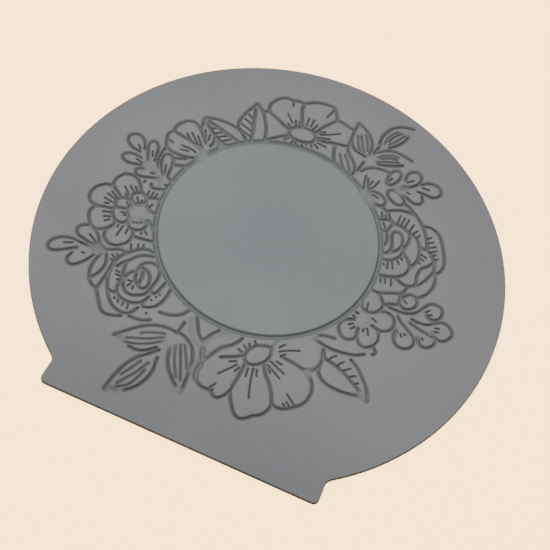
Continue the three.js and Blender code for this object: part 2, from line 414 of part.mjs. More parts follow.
// A groove's centre line, sampled only as finely as its bends need
function sampleGroove(groove) {
  const knots = groove.points.map(([x, y]) => new THREE.Vector3(x, y, 0));
  const curve = new THREE.CatmullRomCurve3(knots, groove.closed);
  const samples = curve.getSpacedPoints(CURVE_SAMPLES);
  const kept = [0];
  for (let i = 2; i <= CURVE_SAMPLES; i++) {
    if (chordError(samples, kept[kept.length - 1], i) > CHORD_ERROR) kept.push(i - 1);
  }
  if (!groove.closed) kept.push(CURVE_SAMPLES);
  return kept.map((i) => {
    const tangent = curve.getTangentAt(i / CURVE_SAMPLES);
    return { x: samples[i].x, y: samples[i].y, tx: tangent.x, ty: tangent.y };
  });
}

// One edge of a groove: its samples moved sideways, without those that a tight bend folds back
function grooveEdge(samples, offset) {
  const moved = samples.map(({ x, y, tx, ty }) => new THREE.Vector2(x - ty * offset, y + tx * offset));
  const nearest = (point) => Math.min(...samples.map(({ x, y }) => Math.hypot(point.x - x, point.y - y)));
  return moved.filter((point) => nearest(point) > Math.abs(offset) * FOLDED_BACK);
}

// Half a turn round the end of an open groove, from its left edge to its right edge or back
function roundEnd({ x, y, tx, ty }, radius, sign) {
  const start = Math.atan2(sign * tx, -sign * ty);
  const steps = [];
  for (let i = 1; i < CAP_STEPS; i++) {
    const angle = start - (Math.PI * i) / CAP_STEPS;
    steps.push(new THREE.Vector2(x + radius * Math.cos(angle), y + radius * Math.sin(angle)));
  }
  return steps;
}

// The cutter for one groove, tall enough to pass right through the face layer
function grooveCutter(groove) {
  const samples = sampleGroove(groove);
  const halfWidth = groove.width / 2;
  const left = grooveEdge(samples, halfWidth);
  const right = grooveEdge(samples, -halfWidth);
  let shape;
  if (groove.closed) {
    const clockwise = THREE.ShapeUtils.isClockWise(left);
    const [outer, inner] = clockwise ? [left.reverse(), right.reverse()] : [right, left];
    shape = new THREE.Shape(outer);
    shape.holes.push(new THREE.Path(inner));
  } else {
    const startCap = roundEnd(samples[0], halfWidth, -1);
    const endCap = roundEnd(samples[samples.length - 1], halfWidth, 1);
    shape = new THREE.Shape([...left, ...endCap, ...right.reverse(), ...startCap]);
  }
  return toSolid(prism(shape, BASE_THICKNESS - CUT_MARGIN, FACE_THICKNESS + 2 * CUT_MARGIN));
}

// The wider channel round the plain field
function channelCutter() {
  const shape = new THREE.Shape();
  shape.absarc(FIELD_CENTRE[0], FIELD_CENTRE[1], FIELD_RADIUS + CHANNEL_WIDTH, 0, 2 * Math.PI, false);
  const hole = new THREE.Path();
  hole.absarc(FIELD_CENTRE[0], FIELD_CENTRE[1], FIELD_RADIUS, 0, 2 * Math.PI, true);
  shape.holes.push(hole);
  const height = FACE_THICKNESS + 2 * CUT_MARGIN;
  return toSolid(prism(shape, BASE_THICKNESS - CUT_MARGIN, height, CHANNEL_SEGMENTS / 2));
}

// The separate bodies of a solid, as index lists into its own vertices
function splitBodies(solid) {
  const mesh = solid.getMesh();
  const whole = new THREE.BufferGeometry();
  whole.setAttribute('position', new THREE.BufferAttribute(mesh.vertProperties, 3));
  whole.setIndex(new THREE.BufferAttribute(mesh.triVerts, 1));
  const merged = mergeVertices(whole, REWELD_DISTANCE);
  const index = merged.index.array;
  const root = Array.from({ length: merged.attributes.position.count }, (_, i) => i);
  const find = (i) => {
    while (root[i] !== i) {
      root[i] = root[root[i]];
      i = root[i];
    }
    return i;
  };
  for (let t = 0; t < index.length; t += 3) {
    root[find(index[t])] = find(index[t + 1]);
    root[find(index[t + 1])] = find(index[t + 2]);
  }
  const bodies = new Map();
  for (let t = 0; t < index.length; t += 3) {
    const key = find(index[t]);
    if (!bodies.has(key)) bodies.set(key, []);
    bodies.get(key).push(index[t], index[t + 1], index[t + 2]);
  }
  return [...bodies.values()].map((triangles) => {
    const body = new THREE.BufferGeometry();
    body.setAttribute('position', merged.attributes.position.clone());
    body.setIndex(triangles);
    return body;
  });
}

// The triangles of a body's top face
function* topTriangles(body) {
  const position = body.attributes.position;
  const index = body.index.array;
  const top = BASE_THICKNESS + FACE_THICKNESS;
  for (let t = 0; t < index.length; t += 3) {
    const corners = [0, 1, 2].map((k) => new THREE.Vector3().fromBufferAttribute(position, index[t + k]));
    const level = corners.every((corner) => Math.abs(corner.z - top) < LEVEL_TOLERANCE);
    if (level) yield new THREE.Triangle(...corners);
  }
}

function topArea(body) {
  let area = 0;
  for (const triangle of topTriangles(body)) area += triangle.getArea();
  return area;
}

function covers(body, [x, y]) {
  const point = new THREE.Vector3(x, y, BASE_THICKNESS + FACE_THICKNESS);
  for (const triangle of topTriangles(body)) {
    if (triangle.containsPoint(point)) return true;
  }
  return false;
}

// The face layer, cut by the channel and the wreath, as its separate bodies
function faceBodies() {
  let face = toSolid(prism(sheetOutline(), BASE_THICKNESS, FACE_THICKNESS));
  face = face.subtract(channelCutter());
  for (const groove of GROOVES) face = face.subtract(grooveCutter(groove));
  return splitBodies(face).filter((body) => topArea(body) > SMALLEST_PAD_AREA);
}

function part(name, geometry) {
  const material = new THREE.MeshStandardMaterial({
    color: SILICONE_GREY,
    roughness: SILICONE_ROUGHNESS,
    metalness: 0,
  });
  const mesh = new THREE.Mesh(geometry, material);
  mesh.name = name;
  return mesh;
}

const mould = new THREE.Group();
mould.add(part('base_sheet', prism(sheetOutline(), 0, BASE_THICKNESS)));
const bodies = faceBodies();
for (const [name, point] of Object.entries(FACE_BODIES)) {
  const body = bodies.splice(bodies.findIndex((candidate) => covers(candidate, point)), 1)[0];
  mould.add(part(name, body));
}
if (bodies.length > 0) throw new Error(`${bodies.length} bodies of the face layer have no name`);

export default mould;
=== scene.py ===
import math

import bpy
import numpy as np
from mathutils import Matrix, Vector, geometry, kdtree


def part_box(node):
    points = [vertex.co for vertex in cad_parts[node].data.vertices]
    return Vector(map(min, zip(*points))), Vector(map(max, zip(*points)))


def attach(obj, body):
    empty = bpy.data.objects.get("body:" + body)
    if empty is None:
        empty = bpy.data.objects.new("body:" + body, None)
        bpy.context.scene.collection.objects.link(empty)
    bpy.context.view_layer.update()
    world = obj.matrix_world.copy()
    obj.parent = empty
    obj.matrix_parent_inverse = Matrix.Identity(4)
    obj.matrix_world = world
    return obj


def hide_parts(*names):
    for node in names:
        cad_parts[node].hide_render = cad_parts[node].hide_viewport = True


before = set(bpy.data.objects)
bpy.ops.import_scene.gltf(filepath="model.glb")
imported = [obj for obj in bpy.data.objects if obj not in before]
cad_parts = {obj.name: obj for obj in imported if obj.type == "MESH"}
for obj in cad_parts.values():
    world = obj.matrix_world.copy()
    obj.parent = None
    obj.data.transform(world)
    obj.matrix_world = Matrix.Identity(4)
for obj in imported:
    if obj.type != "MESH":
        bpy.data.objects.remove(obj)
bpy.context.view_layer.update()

MM = 0.001
BASE = "base_sheet"
FACE_NODES = sorted(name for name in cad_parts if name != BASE)
BASE_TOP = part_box(BASE)[1].z / MM
FACE_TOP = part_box("outer_field")[1].z / MM
GROOVE_DEPTH = FACE_TOP - BASE_TOP
FIELD_CENTRE = (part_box("centre_field")[0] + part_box("centre_field")[1]) / 2 / MM
FIELD_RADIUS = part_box("centre_field")[1].x / MM - FIELD_CENTRE.x
CHANNEL_WIDTH = 1.5
CLOSE_TO_FIELD = 0.5

# Contours and the walls of the grooves
SAMPLE_STEP = 0.1
FEWEST_SAMPLES = 12
CORNER_SOFTENING = 0.3
SOFTENING_REACH = 3
RAIL_STRIDE = 4
WALL_FOOT = 0.5
STEEP_SHOULDER = 0.22
GENTLE_SHOULDER = 0.66
CHANNEL_SHOULDER = 0.6
GROOVE_RAILS = (-WALL_FOOT, -0.42, -0.28, -0.14, 0.0, 0.12, 0.24, 0.42, 0.64, 0.9, 1.4)
GROOVE_SKIN = 0.02
FADED_SHOULDER = 1.4
SHALLOW = 0.5
VANISHED = 0.1
PILLOW_REACH = 2.0
PILLOW_SHARE = 0.12
RIM_ROUNDING = 0.25
RIM_RAILS = (0.0, 0.03, 0.1, RIM_ROUNDING, 0.6)
RAIL_TOLERANCE = 0.06

# Hatch marks: a narrow soft dent along each line
MARK_DEPTH = 0.6
MARK_FLOOR_HALF_WIDTH = 0.06
MARK_HALF_WIDTH = 0.45
MARK_STEP = 0.3
FEWEST_MARK_POINTS = 3
MARK_MID_SLOPE = 0.24
MARK_RAILS = (MARK_FLOOR_HALF_WIDTH, MARK_MID_SLOPE, MARK_HALF_WIDTH)
MARK_END_TURNS = (-0.8, 0.0, 0.8)

# Valleys: broad soft dips, such as the stem of a sprig
VALLEY_DEPTH = 0.5
WIDEST_VALLEY = 1.7
DOME_RING_DEPTH = 0.22
DOME_RING_HALF_WIDTH = 1.1
DOME_STEPS = 48
VALLEY_GRID_STEP = 0.5
CLEAR_OF_RAILS = 0.25

# Mesh
FIELD_STEP = 1.6
CLEAR_OF_CONTOURS = 0.7
CLOSEST_POINTS = 0.08
CDT_EPSILON = 1e-7
FLAT = 1e-3
SHORTEST_NORMAL = 1e-12
BOND_OVERLAP = 0.02
BASE_EDGE_PROFILE = ((0.15, 0.0), (0.045, 0.045), (0.0, 0.15), (0.0, BASE_TOP))
BASE_EDGE_TILTS = (75.0, 45.0, 0.0, 0.0)

# Colours of the plain field, of the wreath's ring and of the sheet outside it, partly the sheet's own tint
# and partly painted light and shade, and how much of them the base sheet has
FIELD_GREY = (0.214, 0.242, 0.2426)
WREATH_GREY = (0.238, 0.244, 0.243)
SURROUND_GREY = (0.2253, 0.228, 0.2376)
# Painted shade: the base sheet is the same silicone, painted a little darker
BASE_SHADE_STRENGTH = 0.95

# The silicone's surface: each noise is its scale, detail and roughness
CLOUDS = (26.0, 3.0, 0.5)
CLOUD_SHADES = (0.95, 1.05)
CLOUD_RANGE = (0.3, 0.7)
MOTTLE = (420.0, 4.0, 0.6)
BLOOM_SHADE = 1.07
BLOOM_RANGE = (0.45, 0.95)
SPECKS = (2600.0, 2.0, 0.7)
SPECK_SHADE = 0.86
SPECK_RANGE = (0.62, 0.9)
ROUGHNESS_RANGE = (0.52, 0.68)
SPECULAR_LEVEL = 0.32
SHEEN_WEIGHT = 0.08
SHEEN_ROUGHNESS = 0.5
SHEEN_TINT = (0.9, 0.95, 1.0)
GRAIN = (3200.0, 3.0, 0.65)
GRAIN_STRENGTH = 0.22
GRAIN_HEIGHT = 0.04
RIPPLE = (120.0, 2.0, 0.5)
RIPPLE_STRENGTH = 0.2
RIPPLE_HEIGHT = 0.3

# Painted shade in the recesses, darker where ambient occlusion finds walls close: how far off a wall counts,
# the darkest tint, and how open a place is where the tint is full and where it ends
RECESS_REACH = 2.0
RECESS_SAMPLES = 12
RECESS_SHADE_TINT = (0.26, 0.265, 0.26)
RECESS_DARK_AT = 0.3
RECESS_CLEAR_AT = 0.91

# Painted shade: each groove is darker the deeper it goes, from this tint on its floor
GROOVE_FLOOR_SHADE = (0.74, 0.745, 0.74)
CLEAR_DEPTH = 0.06

# The sheet's tint zones by distance from the plain field's centre, with painted light and shade, and painted
# shade towards the tab
WREATH_RANGE = (0.35 * FIELD_RADIUS, 1.15 * FIELD_RADIUS)
SURROUND_RANGE = (1.5 * FIELD_RADIUS, 1.8 * FIELD_RADIUS)
TAB_SHADE = (0.84, 0.84, 0.845)
TAB_SHADE_FROM = -34.0
TAB_SHADE_FULL = -64.0

# Studio: angles in degrees, the camera's place in millimetres, the light's and the floor's in metres
CAMERA_TARGET = Vector((2.8, -1.4, 0.0))
CAMERA_DISTANCE = 759.4
CAMERA_AZIMUTH = 13.53
CAMERA_ELEVATION = 59.59
CAMERA_ROLL = 11.95
LENS = 158.8

FLOOR_COLOUR = (0.55, 0.47, 0.38)
FLOOR_GLOW = (1.0, 0.607, 0.18)
FLOOR_GLOW_STRENGTH = 5.4
FLOOR_SIZE = 4.0
WORLD_COLOUR = (0.96, 0.98, 1.0)
WORLD_STRENGTH = 0.3
WORLD_GLOW = (1.0, 0.62, 0.21)
WORLD_GLOW_STRENGTH = 5.8
KEY_AZIMUTH = 235.0
KEY_ELEVATION = 74.0
KEY_DISTANCE = 1.3
KEY_SIZE = 1.01
KEY_POWER = 14.6

# Places where the grooves become softer: the share of their depth that is left in the middle of each,
# and the places as x, y, and how far out the grooves are whole again
FADES = [
    (SHALLOW, [
        (16.2, 38.6, 3.2), (18.8, 37.0, 3.0),
        (-36.4, 29.6, 2.8), (-35.6, 27.0, 3.2),
        (-48.0, 15.5, 3.2), (-43.5, 12.5, 2.6),
        (-51.0, -19.0, 3.0),
        (-16.5, -39.0, 3.4), (-5.4, -37.2, 2.2),
        (27.0, 45.8, 3.0),
        (13.2, 52.5, 2.4),
        (16.5, 39.0, 2.6),
        (34.4, -3.9, 2.8),
        (-44.4, -1.2, 4.4), (-44.6, -4.4, 2.3), (-42.3, -3.6, 1.8),
        (43.5, -28.5, 2.2),
        (14.5, -27.0, 2.2), (26.0, -29.0, 2.4),
        (23.0, -16.5, 2.0),
        (-5.2, -43.8, 3.4),
    ]),
    (VANISHED, [
        (42.4, 2.4, 1.3), (21.2, 66.8, 2.0), (-34.8, 27.6, 2.2), (40.6, -14.9, 1.3),
        (-25.2, -61.6, 2.2), (-22.9, -60.7, 2.2), (-7.0, -52.3, 2.2),
        (51.4, 6.0, 1.0), (55.0, 0.7, 1.0), (51.7, -2.1, 1.0), (44.8, -2.4, 1.0),
    ]),
]

# Valleys: the half width, then x, y, x, y and in curved valleys a third x, y
VALLEYS = [
    (1.7, -50.5, 17.0, -46.5, 15.0, -42.5, 11.5), (1.4, -38.2, 30.4, -36.6, 29.2),
    (1.7, -53.5, -18.8, -49.0, -19.3), (1.7, 27.0, 46.2, 24.6, 44.8), (1.4, 43.4, -29.0, 45.4, -29.7),
    (1.3, -13.6, -28.4, -11.6, -32.2, -8.0, -35.6), (1.3, -8.0, -35.6, -5.9, -37.2, -5.2, -41.2),
    (1.3, -6.6, -35.0, -5.2, -31.4, -1.2, -27.6), (0.8, 12.5, -26.0, 12.9, -24.7, 13.4, -22.9),
    (1.1, 13.5, 58.8, 14.0, 57.3, 13.6, 55.4), (1.3, -25.9, -60.9, -23.6, -60.1),
    (1.0, -31.2, -43.8, -29.4, -44.2), (1.2, -4.4, -41.6, -4.9, -44.2, -4.0, -46.8),
    (1.0, 50.6, 7.0, 52.2, 5.8), (1.0, 55.2, 1.5, 56.6, 0.3), (1.0, 51.5, -2.4, 52.5, -3.4),
    (1.0, 44.7, -2.9, 45.1, -4.6),
]

# Domes: flower centres that only a soft ring sets off, as x, y and radius
DOMES = [(33.7, -3.9, 2.3), (-44.4, -0.8, 2.6)]

# The middle of each motif: a groove's wall is steep on the side of the motif and gentle away from it
MOTIF_MIDDLES = [
    (-9.8, 50.0), (-0.5, 56.0), (8.5, 57.0), (6.5, 47.0), (18.0, 63.0), (19.0, 55.0), (17.5, 47.0),
    (22.5, 48.5), (28.6, 50.5), (35.0, 49.5), (30.5, 44.0), (26.0, 42.0), (20.5, 39.0), (33.0, 26.0),
    (37.0, 17.0), (44.3, 8.2), (52.0, 8.0), (57.0, 3.0), (54.0, -2.0), (48.0, -4.5), (33.7, -3.9),
    (31.0, -16.5), (35.5, -25.0), (9.8, -31.0), (-1.5, -33.5), (-9.3, -29.0), (-24.0, -40.0),
    (-22.0, -53.0), (-11.0, -44.0), (-33.0, -23.0), (-59.0, -22.5), (-54.5, -24.5), (-55.5, -15.2),
    (-47.3, -24.5), (-44.5, -1.0), (-56.5, 22.3), (-50.7, 22.0), (-44.7, 19.5), (-55.0, 16.2),
    (-49.5, 12.8), (-38.0, 30.0), (-26.0, 46.0), (-33.0, 39.0),
]

# Hatch marks of each motif, as x, y, x, y and in curved marks a third x, y
MARKS = {
    "top anemone": [
        (-17.7, 59.9, -17.3, 58.5), (-4.7, 63.6, -5.2, 61.5, -5.7, 59.8), (-17.7, 55.2, -15.0, 52.5),
        (-14.4, 53.9, -13.3, 51.7), (-13.1, 53.9, -12.3, 52.3), (-16.1, 51.5, -14.8, 50.7),
        (-10.7, 56.7, -10.4, 53.9), (-9.0, 56.9, -9.0, 53.9), (-7.3, 55.4, -8.0, 53.1),
        (-5.0, 52.5, -1.9, 54.2, 0.6, 56.0), (-5.2, 51.2, -1.5, 52.3), (-6.0, 52.7, -4.0, 54.2),
        (-4.6, 49.2, -1.5, 48.9), (-5.4, 48.3, -3.7, 47.3), (-6.5, 47.9, -5.6, 46.7),
        (-7.5, 46.7, -8.1, 47.5), (-8.5, 45.4, -9.0, 46.9), (-11.0, 45.8, -10.9, 46.6),
        (-12.3, 45.4, -11.7, 46.7), (-14.8, 45.4, -13.3, 46.9),
    ],
    "upper left leaves": [
        (-29.2, 48.9, -27.3, 48.1), (-29.2, 46.7, -26.5, 45.8), (-29.4, 44.4, -25.8, 43.3),
        (-29.4, 42.5, -25.0, 41.2), (-36.0, 39.0, -37.3, 38.3), (-33.5, 38.5, -35.8, 36.9),
        (-31.5, 38.1, -34.4, 36.0), (-30.0, 37.3, -32.3, 35.4),
    ],
    "upper left flower": [
        (-43.5, 32.9, -41.7, 31.2), (-42.3, 33.9, -39.2, 31.0), (-40.0, 33.5, -37.3, 30.6),
        (-47.5, 27.9, -46.0, 27.5), (-43.1, 27.9, -40.4, 28.0, -38.1, 27.5), (-42.7, 26.3, -40.4, 26.9),
        (-38.9, 36.9, -37.7, 34.6), (-36.7, 35.8, -36.4, 33.5),
    ],
    "left sprig": [
        (-55.4, 21.7, -54.3, 20.5), (-50.4, 21.5, -49.7, 19.8), (-44.5, 18.8, -43.5, 15.9),
        (-53.7, 16.5, -51.6, 16.1), (-47.7, 13.8, -46.4, 14.3), (-41.6, 12.0, -40.4, 12.0),
    ],
    "left flower": [
        (-52.7, 5.6, -50.2, 3.4), (-51.2, 6.6, -48.9, 4.6), (-49.5, 6.9, -48.1, 5.4),
        (-51.2, 3.0, -50.2, 2.5), (-47.7, 10.7, -47.9, 9.6), (-45.0, 7.5, -44.9, 5.7),
        (-43.6, 7.7, -43.6, 5.5), (-42.3, 7.7, -42.4, 5.5), (-55.4, 1.9, -52.9, 0.5),
        (-56.4, 0.7, -53.5, -0.2), (-56.6, -1.2, -53.7, -1.6), (-55.6, -2.9, -54.5, -2.5),
        (-54.8, -6.0, -52.5, -5.2), (-53.9, -7.5, -51.8, -6.6), (-52.9, -8.9, -51.6, -7.7),
        (-46.8, -7.9, -47.2, -12.0), (-48.3, -8.1, -48.3, -9.1), (-45.0, -8.3, -45.0, -10.0),
        (-47.4, 3.6, -46.0, 1.7), (-45.6, 3.2, -45.0, 2.5), (-49.5, 0.4, -48.3, -0.4),
        (-49.5, -3.6, -47.3, -3.1), (-48.4, -4.3, -47.5, -3.6), (-41.8, 3.4, -42.4, 2.4),
        (-44.7, -5.0, -44.5, -5.2), (-43.5, -4.7, -43.3, -4.9), (-42.5, -3.9, -42.2, -4.1),
        (-40.1, -6.4, -38.9, -7.4), (-40.9, -7.3, -40.5, -8.0), (-41.8, -12.7, -40.8, -14.7),
        (-39.7, -11.8, -39.1, -13.3), (-38.1, -11.2, -37.7, -12.3),
    ],
    "lower left sprig": [
        (-54.8, -15.4, -51.6, -17.3), (-60.6, -21.8, -58.3, -20.6), (-54.1, -22.5, -53.3, -22.2),
    ],
    "lower left rose": [
        (-45.4, -18.9, -44.1, -19.5), (-44.1, -18.1, -43.1, -18.7), (-45.0, -20.4, -44.3, -20.8),
        (-41.8, -23.5, -40.4, -23.5), (-41.2, -24.7, -39.8, -24.7), (-40.2, -26.2, -39.5, -26.0),
        (-38.1, -32.2, -37.9, -32.7), (-36.8, -32.3, -36.4, -33.5), (-34.9, -32.5, -34.8, -33.7),
        (-33.3, -32.3, -33.0, -34.1), (-37.0, -24.9, -35.6, -24.7), (-35.8, -25.6, -36.3, -26.8),
        (-34.7, -26.0, -34.5, -27.2), (-26.2, -24.9, -26.0, -25.1), (-26.8, -26.2, -26.6, -26.4),
        (-27.6, -27.9, -27.4, -28.1), (-27.0, -32.8, -26.8, -33.0),
    ],
    "upper right sprig": [
        (22.3, 48.0, 21.5, 45.5), (27.1, 48.8, 28.9, 50.4), (32.5, 49.2, 34.8, 49.4),
        (28.5, 45.2, 29.6, 45.2), (19.0, 39.4, 21.0, 39.0), (14.4, 45.2, 14.8, 42.5, 15.4, 40.5),
        (15.4, 44.4, 16.4, 41.3), (17.2, 44.2, 16.6, 41.9), (18.9, 45.2, 18.3, 42.5, 16.9, 40.9),
    ],
    "right rose": [
        (26.2, 31.3, 27.4, 29.7), (24.2, 34.7, 24.9, 33.2), (25.7, 34.1, 26.4, 33.0),
        (30.1, 36.1, 30.4, 32.9), (31.7, 36.1, 31.6, 32.9), (33.2, 36.1, 32.9, 32.9),
        (35.2, 35.0, 34.8, 32.0), (37.1, 33.5, 36.3, 31.9), (38.4, 32.2, 37.8, 30.8),
        (42.1, 33.2, 40.8, 32.3), (43.3, 31.9, 41.5, 30.7), (44.6, 30.7, 42.4, 29.2),
        (45.4, 29.4, 43.3, 27.7), (45.7, 28.0, 44.3, 26.7), (46.8, 26.7, 45.4, 25.8),
        (41.4, 26.0, 43.3, 25.5), (41.2, 24.5, 43.0, 24.2), (41.2, 23.2, 42.3, 22.7),
        (35.7, 22.0, 36.7, 21.3), (35.4, 20.4, 36.4, 19.4), (33.0, 18.5, 33.6, 16.3),
        (34.2, 19.1, 35.2, 17.0), (32.0, 17.4, 32.2, 17.2), (33.0, 12.6, 33.6, 10.7),
        (34.2, 13.0, 35.1, 11.1), (36.1, 13.8, 37.1, 11.0),
    ],
    "berry sprig": [
        (42.5, 8.2, 44.0, 7.4), (50.7, 7.6, 51.5, 8.4), (51.3, 6.5, 52.7, 7.2),
        (55.4, 3.4, 56.5, 3.7), (55.7, 2.2, 56.9, 2.4), (52.9, -1.8, 53.4, -2.4),
        (46.3, -3.5, 47.0, -4.3), (47.4, -2.9, 47.9, -3.3),
    ],
    "small flower": [
        (33.2, 2.0, 33.6, -0.5), (36.3, -2.4, 38.0, -3.0), (36.3, -6.4, 37.5, -8.5),
        (35.4, -7.0, 35.5, -8.0), (31.6, -5.3, 29.9, -5.7), (31.7, -6.8, 30.5, -7.8),
        (32.7, -7.6, 31.7, -8.9), (30.5, -4.1, 31.5, -4.5), (30.7, -2.6, 31.9, -2.8),
    ],
    "lower right leaf": [
        (31.6, -19.7, 30.4, -20.9, 30.1, -22.1), (34.5, -20.6, 33.5, -21.8, 33.2, -22.9),
        (37.2, -21.8, 36.0, -22.9, 35.5, -23.5), (39.7, -23.5, 38.5, -24.1, 38.0, -24.7),
        (41.3, -25.3, 40.5, -25.9),
    ],
    "bottom anemone": [
        (5.4, -36.4, 1.5, -41.8), (6.4, -37.0, 5.7, -38.7), (4.8, -35.4, 2.9, -36.4),
        (2.3, -45.2, 1.2, -47.2), (2.3, -47.4, 2.2, -47.9), (10.4, -35.2, 11.5, -39.9, 13.3, -45.3),
        (9.0, -36.0, 9.4, -38.9), (11.5, -35.2, 12.4, -37.4), (13.9, -30.6, 19.6, -32.8),
        (13.9, -32.2, 19.0, -34.9), (15.8, -29.9, 17.7, -30.2), (14.6, -33.3, 15.6, -34.3),
        (23.1, -38.7, 26.7, -41.2), (24.0, -41.2, 25.4, -42.2), (23.3, -42.2, 24.2, -42.9),
        (15.2, -26.4, 17.7, -24.7, 20.8, -23.3), (14.6, -25.0, 15.9, -23.3), (16.2, -27.5, 17.3, -26.4),
        (6.9, -26.4, 7.9, -27.5), (5.8, -27.9, 6.3, -28.9), (4.6, -29.3, 5.6, -30.0),
        (3.5, -31.2, 5.0, -31.8),
    ],
}


def smoothstep(t):
    t = np.clip(t, 0.0, 1.0)
    return t * t * (3.0 - 2.0 * t)


# ---------------------------------------------------------------- contours

def top_outlines(node):
    """The closed outlines of a node's top face, with the face on their left."""
    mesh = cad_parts[node].data
    mesh.calc_loop_triangles()
    corners = [tuple(round(c / MM, 4) for c in v.co) for v in mesh.vertices]
    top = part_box(node)[1].z / MM
    edges = set()
    for triangle in mesh.loop_triangles:
        a, b, c = (corners[i] for i in triangle.vertices)
        if min(a[2], b[2], c[2]) > top - FLAT:
            edges.update([(a, b), (b, c), (c, a)])
    following = {a: b for a, b in edges if (b, a) not in edges}
    outlines = []
    while following:
        start = min(following)
        outline = [start]
        point = following.pop(start)
        while point != start:
            outline.append(point)
            point = following.pop(point)
        outlines.append(np.array(outline)[:, :2])
    return outlines


def resampled(outline, step):
    """A closed outline as evenly spaced points."""
    closed = np.vstack([outline, outline[:1]])
    lengths = np.linalg.norm(np.diff(closed, axis=0), axis=1)
    along = np.concatenate([[0.0], np.cumsum(lengths)])
    count = max(FEWEST_SAMPLES, round(along[-1] / step))
    places = np.arange(count) * along[-1] / count
    return np.column_stack([np.interp(places, along, closed[:, axis]) for axis in (0, 1)])


def softened(outline):
    """A closed, evenly sampled outline with its corners rounded."""
    reach = round(SOFTENING_REACH * CORNER_SOFTENING / SAMPLE_STEP)
    offsets = np.arange(-reach, reach + 1)
    weights = np.exp(-0.5 * (offsets * SAMPLE_STEP / CORNER_SOFTENING) ** 2)
    weights /= weights.sum()
    return sum(weight * np.roll(outline, offset, axis=0) for weight, offset in zip(weights, offsets))


def inward_normals(outline):
    """The direction into the face at each point of a closed outline."""
    forward = np.roll(outline, -1, axis=0) - np.roll(outline, 1, axis=0)
    forward /= np.linalg.norm(forward, axis=1)[:, None]
    return np.column_stack([-forward[:, 1], forward[:, 0]])


def span(outline):
    return np.ptp(outline[:, 0])


def all_contours():
    """Each contour of the face as samples, inward normals and the index of its node, the rim first."""
    found = []
    for owner, node in enumerate(FACE_NODES):
        for outline in top_outlines(node):
            samples = softened(resampled(outline, SAMPLE_STEP))
            found.append((samples, inward_normals(samples), owner))
    return sorted(found, key=lambda contour: -span(contour[0]))


# ---------------------------------------------------------------- height field

class NearestSample:
    """Finds the nearest of some points of the sheet."""

    def __init__(self, samples):
        self.tree = kdtree.KDTree(len(samples))
        for index, (x, y) in enumerate(samples):
            self.tree.insert((x, y, 0.0), index)
        self.tree.balance()

    def find(self, points):
        found = [self.tree.find((x, y, 0.0)) for x, y in points]
        return np.array([f[1] for f in found]), np.array([f[2] for f in found])


def shoulders(samples, inward):
    """How far each contour's wall reaches into the land beside it."""
    middles = np.array(MOTIF_MIDDLES)
    toward = middles[None, :, :] - samples[:, None, :]
    distance = np.linalg.norm(toward, axis=2)
    nearest = distance.argmin(axis=1)
    rows = np.arange(len(samples))
    facing = np.einsum("ij,ij->i", toward[rows, nearest], inward) / distance[rows, nearest]
    reach = GENTLE_SHOULDER + (STEEP_SHOULDER - GENTLE_SHOULDER) * smoothstep(0.5 + facing)
    from_field = np.linalg.norm(samples - (FIELD_CENTRE.x, FIELD_CENTRE.y), axis=1) - FIELD_RADIUS
    reach[from_field < CLOSE_TO_FIELD] = STEEP_SHOULDER
    reach[np.abs(from_field - CHANNEL_WIDTH) < CLOSE_TO_FIELD] = CHANNEL_SHOULDER
    return reach


class Contours:
    """All the contours as one set of samples, for distances to them."""

    def __init__(self, contours):
        self.samples = np.vstack([samples for samples, _, _ in contours])
        self.inward = np.vstack([normals for _, normals, _ in contours])
        self.owner = np.concatenate([np.full(len(s), owner) for s, _, owner in contours])
        self.shoulder = shoulders(self.samples, self.inward)
        self.on_rim = np.arange(len(self.samples)) < len(contours[0][0])
        self.nearest = NearestSample(self.samples)

    def distances(self, points):
        """For each point, its distance into the land (negative in a groove) and its nearest sample."""
        index, distance = self.nearest.find(points)
        offset = points - self.samples[index]
        across = np.einsum("ij,ij->i", offset, self.inward[index])
        beside = np.abs(distance ** 2 - across ** 2) < SAMPLE_STEP ** 2
        return np.where(beside, across, np.sign(across) * distance), index


def mark_line(mark):
    """A hatch mark as evenly spaced points. Three given points make a curve through them."""
    given = np.array(mark).reshape(-1, 2)
    places = np.linspace(0.0, 1.0, len(given))
    length = np.linalg.norm(np.diff(given, axis=0), axis=1).sum()
    count = max(FEWEST_MARK_POINTS, math.ceil(length / MARK_STEP) + 1)
    fine = np.linspace(0.0, 1.0, count)
    if len(given) == 2:
        return np.column_stack([np.interp(fine, places, given[:, axis]) for axis in (0, 1)])
    bend = [np.polyfit(places, given[:, axis], 2) for axis in (0, 1)]
    return np.column_stack([np.polyval(bend[axis], fine) for axis in (0, 1)])


class Valleys:
    """All the valleys and the rings round domes as one set of samples, each with its own profile."""

    def __init__(self):
        lines = [(mark_line(along), half_width, VALLEY_DEPTH) for half_width, *along in VALLEYS]
        turns = np.linspace(0.0, 2.0 * math.pi, DOME_STEPS, endpoint=False)
        for x, y, radius in DOMES:
            ring = np.column_stack([x + radius * np.cos(turns), y + radius * np.sin(turns)])
            lines.append((ring, DOME_RING_HALF_WIDTH, DOME_RING_DEPTH))
        counts = [len(line) for line, _, _ in lines]
        self.nearest = NearestSample(np.vstack([line for line, _, _ in lines]))
        self.half_width = np.repeat([half_width for _, half_width, _ in lines], counts)
        self.depth = np.repeat([depth for _, _, depth in lines], counts)


def fade(points):
    """The share of the grooves' depth that is left at each point, and how soft their walls are there."""
    depth = np.ones(len(points))
    softness = np.zeros(len(points))
    for left, places in FADES:
        for x, y, radius in places:
            whole = smoothstep(np.linalg.norm(points - (x, y), axis=1) / radius)
            depth = np.minimum(depth, left + (1.0 - left) * whole)
            softness = np.maximum(softness, 1.0 - whole)
    return depth, softness


